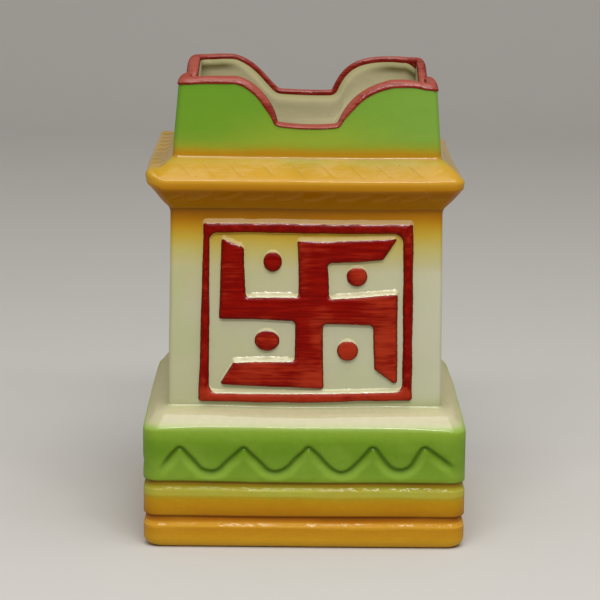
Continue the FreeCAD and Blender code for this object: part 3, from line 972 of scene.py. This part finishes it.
troughLook = {
    "bands": [(172, 170, 122, 18), (174.5, 170, 126, 22), (176.0, 156, 138, 32), (177.6, 136, 146, 40),
              (180.5, 115, 145, 41), (185, 103, 143, 39), (208, 98, 142, 38)],
    # painted light: the trough is lighter to the right, where more light falls
    "wander": 1.2, "mottle": 0.09, "right": (130, 164, 72), "rightShare": 0.56, "rightWithin": (179, 300),
    "centre": (150, 162, 46), "centreShare": 0.45,
    "centreAcross": (6, 50), "centreRise": (176, 180), "centreFall": (180, 196),
    "flare": 4.5, "outerRows": 40, "innerRows": 14, "innerDrop": 1.6,
    "underBead": 0.5,                            # how far the wall runs up under the bead
    "top": [(1.2, -0.6), (3.6, 0.2)],            # depth and drop of its hidden edges
    # the inner face below the rim's red band: how far down, and how thick the wall is there
    "lip": [(0.0, 4.6), (0.9, 4.8), (1.8, 5.1), (2.5, 5.4)],
    "swell": [(1.0, 5.65), (2.2, 5.7), (3.8, 5.5), (6.0, 5.2), (9.0, 5.0)],
    # light and shade on the inner face, by how far and how wide they lie below the red's edge
    "light": (165, 161, 110), "lightShare": 0.75, "lightAt": (1.15, 1.7),
    "shade": (84, 76, 26), "shadeShare": 0.95, "shadeAt": (3.75, 1.8), "shadeLeast": 0.06,
    "shadeHeights": (193, 205), "shadeAcross": (18, 48),     # it grows up to the plateaus and their corners
}


def troughWall():
    look = troughLook
    stations = rimStations()
    foot = level["troughFoot"]
    cover = bandWidth(stations[:, 2]) - look["underBead"]
    innerCover = innerBand(stations) - look["underBead"]
    (outerDepth, outerDrop), (innerDepth, innerDrop) = look["top"]
    rows = [footPoint(stations, 0.0, z, h) for h, z, _ in stretch(throatLine, foot, foot + look["flare"])]
    rows += rowsTo(rows[-1], rimPoint(stations, 0.0, cover), look["outerRows"])
    rows.append(rimPoint(stations, outerDepth, cover + outerDrop))
    outerCount = len(rows)
    drops = [0.0] * outerCount
    lipDrop = look["lip"][-1][0]
    # square drop, depth, straight drop below it, and the mark's distance below the red's edge
    spots = [(innerDrop, innerDepth, 0.0, 0.0)] + [(drop, depth, 0.0, drop) for drop, depth in look["lip"]]
    spots += [(lipDrop, depth, below, lipDrop + below) for below, depth in look["swell"]]
    for drop, depth, below, mark in spots:
        rows.append(rimPoint(stations, depth, innerCover + drop, below))
        drops.append(mark)
    rows += rowsTo(rows[-1], footPoint(stations, clay["wall"], foot, half["troughFoot"]), look["innerRows"])
    drops += [drops[-1] + look["innerDrop"] * k for k in range(1, look["innerRows"] + 1)]
    points = np.array(rows)
    drops = np.array(drops)[:, None]
    inside = (np.arange(len(rows)) >= outerCount)[:, None] * np.ones(points.shape[:2])
    plateau = smoothStep(*look["shadeHeights"], stations[:, 2])
    corner = np.maximum(smoothStep(*look["shadeAcross"], np.abs(stations[:, 1])), stations[:, 4] > 0)
    shaded = partWay(look["shadeLeast"], 1, plateau * corner)
    marks = {"inside": inside, "light": hump(drops, *look["lightAt"]) * inside,
             "shade": hump(drops, *look["shadeAt"]) * shaded * inside}
    gridPiece("troughWall", points, marks, bandedGlaze("troughWallGlaze", look), ["trough"])


brushing = {"streakSize": 1.3, "streakShare": 0.36, "cloudSize": 18.0, "cloudShare": 0.65,
            "fullAt": (0.36, 0.72), "thinAndHighlightAt": (0.53, 0.77), "wallGloss": 0.05}
beadLook = {
    # its section: depth behind the face, drop below the line, and the outer and inner band's shares in it
    "section": [(0.4, 0, 1, 0), (-0.1, 0, 1, 0), (-0.42, 0, 0.95, 0), (-0.55, 0, 0.84, 0),
                (-0.46, 0, 0.69, 0), (-0.15, 0, 0.5, 0), (0.3, 0, 0.32, 0), (0.9, 0, 0.16, 0),
                (1.6, 0, 0.06, 0), (2.4, 0, 0.01, 0), (3.2, 0.06, 0, 0), (3.9, 0.3, 0, 0), (4.4, 0.7, 0, 0),
                (4.7, 1.2, 0, 0), (4.82, 0, 0, 1), (4.6, 0.35, 0, 1), (3.9, 0.5, 0, 1), (2.2, 0, 0, 1)],
    "deep": (114, 26, 18), "full": (144, 50, 38), "thin": (158, 78, 62), "thinShare": 0.8,
    # where the bead faces up its red is lighter, a painted highlight
    "streaks": (0.12, 0.12, 1.6), "topTilt": (0.1, 0.9), "topHighlight": 0.3,
    "roughness": 0.10, "streakRoughness": 0.04, "bump": 0.16, "ledgeGloss": 0.34,
    "streakHeight": 0.8, "lumpSize": 3.0, "lumpHeight": 1.6,
}


def redEnamel(pot, look, thinningAndHighlight):
    # brushed red enamel with streaks along the stroke, thinner in places, and lighter where the caller adds
    # to it; on the rim's top and at the frame's foot that is painted highlight
    streak = pot.noise(look["streakSize"], 3.0, 0.6, stretch=look["streaks"])
    cloud = pot.noise(look["cloudSize"], shift=2.1)
    colour = pot.mix(pot.soften(streak, *look["fullAt"]), look["deep"], look["full"])
    thin = streak * look["streakShare"] + cloud * look["cloudShare"] + thinningAndHighlight
    return colour, streak, pot.soften(thin, *look["thinAndHighlightAt"])


def rimBead():
    look = {**brushing, **beadLook}
    stations = rimStations()
    outerBand, inner = bandWidth(stations[:, 2]), innerBand(stations)
    points = np.array([rimPoint(stations, depth, drop + outerBand * outerShare + inner * innerShare)
                       for depth, drop, outerShare, innerShare in look["section"]])
    pot = Glaze("rimEnamel")
    # painted highlight: the red is lighter where the bead's top faces up
    colour, streak, thin = redEnamel(pot, look, pot.facingUp(*look["topTilt"]) * look["topHighlight"])
    colour = pot.tint(colour, look, "thin", thin)
    roughness = look["roughness"] + streak * look["streakRoughness"]
    height = streak * look["streakHeight"] + pot.noise(look["lumpSize"]) * look["lumpHeight"]
    material = pot.finish(colour, roughness, height, look)
    gridPiece("rimBead", points, {}, material, ["rim_bead"], 60)


# Sprigged panel

panelLook = {
    "grid": 0.34, "relief": 1.8, "sink": 0.4, "skirt": 0.35, "blend": 0.04, "margin": 3.2, "backing": 1.0,
    "sideFlank": 1.1, "footFlank": 0.85,
    "tuck": 0.75,                               # how far the top draws in from the sides and the foot
    "sideCover": 0.84, "footCover": 0.80,       # how far the red runs down those flanks
    "wobble": 0.10, "wobbleLength": 16.0, "tremble": 0.04, "trembleLength": 2.4,
}
sprigPaint = {
    "deep": (116, 4, 0), "full": (140, 14, 2), "thin": (166, 50, 25),
    # the dark red at the edges is pooled red, and painted shade on the flanks that face down or sideways
    "dark": (70, 4, 0), "darkShare": 0.7, "darkAt": (-0.75, -0.1),     # where the red pools at the foot
    "flank": (226, 214, 170), "flankShare": 0.35, "edgeWaver": 0.16,
    # the red is lighter low down and to the right, though less so high up; at the frame's foot it is lighter
    # as a painted highlight on the bar's upper flank
    "lowFade": (70, 118), "lowAcross": (-14, 10), "footFade": (69, 73),
    "rightFade": (118, 130), "rightAcross": (0, 30), "rightGain": 1.6,
    "roughness": 0.085, "paintRoughness": 0.04, "streakRoughness": 0.09,
    "bump": 0.13, "streakHeight": 0.5, "paintHeight": 0.5, "grain": 0.7, "ledgeGloss": 0.6,
}
# topFlank: the upper flank's width by height; crown: how high the top swells, and how far in from its edge
frameLook = {
    "outside": [(-44.7, 144.0), (-46.7, 64.0), (47.2, 65.0), (46.4, 144.1)],
    "inside": [(-42.3, 139.6), (-42.4, 68.1), (43.1, 68.9), (42.5, 139.9)],
    "outsideRadii": [1.3, 1.3, 1.3, 1.3], "insideRadii": [3.6, 4.0, 4.0, 4.8],
    "topFlank": ([0], [1.9]), "crown": (0.9, 1.5),
    "streaks": (0.3, 1.0, 0.5), "leftLighten": 0.08, "rightLighten": 0, "footHighlight": 0.2,
}
svastikaLook = {
    "outline": [(-36.8, 137.2), (-27.0, 133.2), (-27.0, 126.3), (-26.8, 115.7), (-26.1, 110.6),
                (-3.1, 111.3), (-3.2, 125.1), (-3.7, 136.3), (39.5, 137.6), (33.4, 128.3), (21.4, 127.4),
                (8.9, 126.8), (9.7, 119.6), (10.2, 110.9), (40.0, 113.2), (40.5, 71.9), (30.5, 79.1),
                (29.9, 99.2), (7.5, 99.6), (8.2, 70.6), (-37.4, 72.0), (-31.5, 82.0), (-4.4, 82.6),
                (-4.2, 100.6), (-37.9, 101.0)],
    "radii": [0.8, 2.4, 0, 0, 2.0, 1.6, 0, 0.7, 0.5, 0.7, 0, 2.0, 0, 1.8, 1.0, 1.0, 0.9, 2.2, 1.7, 0.8,
              0.9, 0.7, 1.9, 2.2, 0.8],
    "topFlank": ([80, 112, 128, 138], [2.3, 2.5, 1.9, 1.7]), "crown": (0.58, 0.85),
    "streaks": (0.09, 1.0, 1.2), "leftLighten": 0.07, "rightLighten": 0.09, "footHighlight": 0,
}
dotLook = {   # centre and half sizes of the four dots
    "upper_left": (-14.7, 126.8, 3.9, 4.4), "upper_right": (22.2, 120.9, 4.4, 4.3),
    "lower_left": (-16.8, 91.6, 5.2, 4.5), "lower_right": (18.7, 87.7, 4.5, 4.5),
}
dotRise = {"topFlank": ([0], [1.15]), "crown": (0.6, 1.2)}


def outlineDistance(x, z, outline):
    # signed distance to a closed outline, negative inside
    closed = np.vstack([outline, outline[:1]])
    distance = pathDistance(x, z, closed)[0]
    inside = np.zeros(x.shape, bool)
    for (x0, z0), (x1, z1) in zip(closed[:-1], closed[1:]):
        crosses = (z0 > z) != (z1 > z)
        where = x0 + (z - z0) * (x1 - x0) / (z1 - z0 + 1e-12)
        inside ^= crosses & (x < where)
    return np.where(inside, -distance, distance)


def sprigPiece(name, node, distanceAt, corners, side, seed, material, rise):
    # a raised sprig on the front or back of the shaft, from the distance to its painted outline
    look = {**panelLook, **rise}
    grid, margin, crown = look["grid"], look["margin"], look["crown"]
    (x0, z0), (x1, z1) = corners
    x, z = np.meshgrid(np.arange(x0 - margin, x1 + margin, grid), np.arange(z0 - margin, z1 + margin, grid))
    flat = np.stack([x, 0 * z, z], -1)
    distance = distanceAt(x, z)
    for number, label in enumerate(("wobble", "tremble")):
        distance = distance + look[label] * Swell(70 + number + seed, look[label + "Length"]).at(flat)
    smooth = np.apply_along_axis(softened, 0, np.apply_along_axis(softened, 1, distance, 2), 2)
    slopeZ = np.gradient(smooth, grid)[0]
    up, down = np.clip(slopeZ, 0, 1) ** 2, np.clip(-slopeZ, 0, 1) ** 2
    tuck = look["tuck"] * (1 - up)
    distance, smooth = distance + tuck, smooth + tuck
    flank = (look["sideFlank"] + up * (np.interp(z, *look["topFlank"]) - look["sideFlank"])
             - down * (look["sideFlank"] - look["footFlank"]))
    fallOff = 1 - smoothStep(0, 1, smooth / flank)
    height = look["relief"] * fallOff + crown[0] * (1 - np.exp(np.minimum(smooth, 0) / crown[1]))
    height -= look["blend"] + look["sink"] * smoothStep(0, look["skirt"], smooth - flank)
    kept = smooth < flank + look["skirt"]
    keep = kept[:-1, :-1] | kept[1:, :-1] | kept[:-1, 1:] | kept[1:, 1:]
    cover = look["footCover"] * down + look["sideCover"] * np.clip(1 - up - down, 0, 1)
    total = x.size
    index = np.arange(total).reshape(x.shape)
    front = np.stack([index[:-1, :-1], index[:-1, 1:], index[1:, 1:], index[1:, :-1]], -1)[keep]
    back = front[:, ::-1] + total
    edges = {(a, b) for quad in front.tolist() for a, b in zip(quad, quad[1:] + quad[:1])}
    skirt = [(b, a, a + total, b + total) for a, b in sorted(edges) if (b, a) not in edges]
    face = wallHalf(z, "shaftFoot", "shaftTop")
    points = np.vstack([np.stack([x, -(face + out), z], -1).reshape(-1, 3)
                        for out in (height, -look["backing"])])
    if side == "back":
        points[:, :2] *= -1
    used, faces = np.unique(np.vstack([front, back, skirt]), return_inverse=True)
    marks = {"edge": distance - cover, "lower": np.clip(1 - 1.6 * up, 0, 1)}
    marks = {label: np.tile(values.ravel(), 2)[used] for label, values in marks.items()}
    meshPiece(name, points[used], faces.reshape(-1, 4).tolist(), marks, material, [node], 75)


def sprigEnamel(name, own):
    # red brushed over the raised top, the shaft's own glaze left on the flanks
    look = {**glazing, **brushing, **sprigPaint, **own}
    pot = Glaze(name)
    right = look["rightLighten"]
    low = (1 - pot.upward(*look["lowFade"])) * (look["leftLighten"] + pot.across(*look["lowAcross"]) * right)
    side = pot.across(*look["rightAcross"]) * ((look["rightGain"] - pot.upward(*look["rightFade"])) * right)
    # painted highlight: lighter red at the frame's foot, on the bottom bar's upper flank
    foot = (1 - pot.upward(*look["footFade"])) * look["footHighlight"]
    colour, streak, thin = redEnamel(pot, look, low + side + foot)
    colour = pot.mix(thin * (0.35 + streak * 0.8), colour, look["thin"])
    edge = pot.mark("edge") + (pot.noise(0.9) - 0.5) * look["edgeWaver"]
    # dark red at the edges that face down or sideways: pooled red, and painted shade
    colour = pot.tint(colour, look, "dark", pot.soften(edge, *look["darkAt"]) * pot.mark("lower"))
    flank = pot.mix(look["flankShare"], pot.bands(pot.z, shaftLook["bands"]), look["flank"])
    paint = 1 - pot.soften(edge, 0.0, 0.12)
    roughness = look["roughness"] + paint * (streak * look["streakRoughness"] + look["paintRoughness"])
    height = (paint * (streak * look["streakHeight"] + look["paintHeight"])
              + pot.noise(look["grainSize"]) * look["grain"] + pot.noise(look["peelSize"], 1.0))
    return pot.finish(pot.mix(paint, flank, colour), roughness, height, look)


def frameDistance(x, z):
    outer = outlineDistance(x, z, roundedPath(frameLook["outside"], frameLook["outsideRadii"], 2.0))
    inner = outlineDistance(x, z, roundedPath(frameLook["inside"], frameLook["insideRadii"], 2.0))
    return np.maximum(outer, -inner)


def svastikaDistance(x, z):
    return outlineDistance(x, z, roundedPath(svastikaLook["outline"], svastikaLook["radii"], 2.0))


def dotDistance(spot):
    cx, cz, rx, rz = spot
    return lambda x, z: (np.hypot((x - cx) / rx, (z - cz) / rz) - 1) * (rx + rz) / 2


def panels():
    frameEnamel = sprigEnamel("frameEnamel", frameLook)
    enamel = sprigEnamel("svastikaEnamel", svastikaLook)
    sprigs = [("Frame", frameDistance, frameLook["outside"], frameEnamel, frameLook),
              ("Svastika", svastikaDistance, svastikaLook["outline"], enamel, svastikaLook)]
    for place, spot in dotLook.items():
        cx, cz, rx, rz = spot
        box = [(cx - rx, cz - rz), (cx + rx, cz + rz)]
        sprigs.append(("Dot_" + place, dotDistance(spot), box, enamel, dotRise))
    for number, side in enumerate(("front", "back")):
        for k, (label, distanceAt, outline, material, rise) in enumerate(sprigs):
            corners = np.min(outline, 0), np.max(outline, 0)
            sprigPiece(side + label, side + "_" + label.lower(), distanceAt, corners, side, k + 10 * number,
                       material, rise)


footCourse()
middleCourse()
waveCourse()
floorSlab()
shaftBlock()
corniceRing()
troughWall()
rimBead()
panels()


# Studio

studio = {
    "floorColour": (202, 199, 194), "floorSize": 3.0, "sweepAt": 1.4, "sweepRadius": 0.9,
    "floorMottle": 0.02, "floorRoughness": 0.9, "bump": 0.02, "wallGloss": 0.1, "ledgeGloss": 0.1,
    # panes of the key light, side by side: middle, width and share of the light
    "keyPanes": [(-0.62, 0.30, 0.9), (-0.26, 0.34, 1.0), (0.16, 0.40, 1.15), (0.60, 0.36, 1.0)],
    "keyPower": 16.5, "keyTall": 0.22, "keyPlace": (0.05, -1.15, 1.32), "aim": (0, 0, 0.11),
    "topPower": 11.0, "topSize": (1.5, 0.9), "topPlace": (0.15, -0.45, 1.6),
    "worldLevel": 0.36, "worldTint": (1.0, 0.985, 0.96, 1.0),
}


def studioFloor():
    look = studio
    size, start, radius = look["floorSize"], look["sweepAt"], look["sweepRadius"]
    path = [(-size, 0.0), (start, 0.0)]
    path += [(start + radius * math.sin(a), radius - radius * math.cos(a))
             for a in np.linspace(0, math.pi / 2, 24)[1:]]
    path.append((start + radius, size))
    points = [(x, y, z) for y, z in path for x in (-size, size)]
    faces = [(i, i + 1, i + 3, i + 2) for i in range(0, len(points) - 2, 2)]
    pot = Glaze("studioFloorPaint")
    colour = pot.mottled(look["floorColour"], look["floorMottle"], 60.0)
    material = pot.finish(colour, look["floorRoughness"], pot.noise(4.0), look)
    floor = addObject("studioFloor", smoothMesh("studioFloor", points, faces, material))


def softbox(name, place, size, power, aim):
    lamp = bpy.data.lights.new(name, "AREA")
    lamp.shape = "RECTANGLE"
    lamp.size, lamp.size_y = size
    lamp.energy = power
    box = addObject(name, lamp)
    box.location = place
    box.rotation_euler = (Vector(aim) - Vector(place)).to_track_quat("-Z", "Y").to_euler()


def studioLight():
    look = studio
    x, y, z = look["keyPlace"]
    weight = sum(width * share for middle, width, share in look["keyPanes"])
    for number, (middle, width, share) in enumerate(look["keyPanes"]):
        softbox("keyPane" + str(number + 1), (x + middle, y, z), (width, look["keyTall"]),
                look["keyPower"] * width * share / weight, (x + middle, look["aim"][1], look["aim"][2]))
    softbox("topBox", look["topPlace"], look["topSize"], look["topPower"], look["aim"])
    world = bpy.data.worlds.new("studioAir")
    world.use_nodes = True
    world.node_tree.nodes["Background"].inputs["Color"].default_value = look["worldTint"]
    world.node_tree.nodes["Background"].inputs["Strength"].default_value = look["worldLevel"]
    bpy.context.scene.world = world


lens = {"place": (-0.0083, -1.052, 0.3075), "pitch": 11.25, "yaw": 0.334, "roll": 0.55, "focal": 138.66,
        "sensor": 36}


def studioCamera():
    camera = addObject("camera", bpy.data.cameras.new("camera"))
    camera.data.lens = lens["focal"]
    camera.data.sensor_width = lens["sensor"]
    camera.location = lens["place"]
    yaw, pitch, roll = (math.radians(lens[label]) for label in ("yaw", "pitch", "roll"))
    turn = (Euler((0, 0, -yaw)).to_matrix() @ Euler((math.pi / 2 - pitch, 0, 0)).to_matrix()
            @ Euler((0, 0, roll)).to_matrix())
    camera.rotation_euler = turn.to_euler()
    bpy.context.scene.camera = camera


studioFloor()
studioLight()
studioCamera()
bpy.context.scene.view_settings.view_transform = "Standard"
print("studio ready")
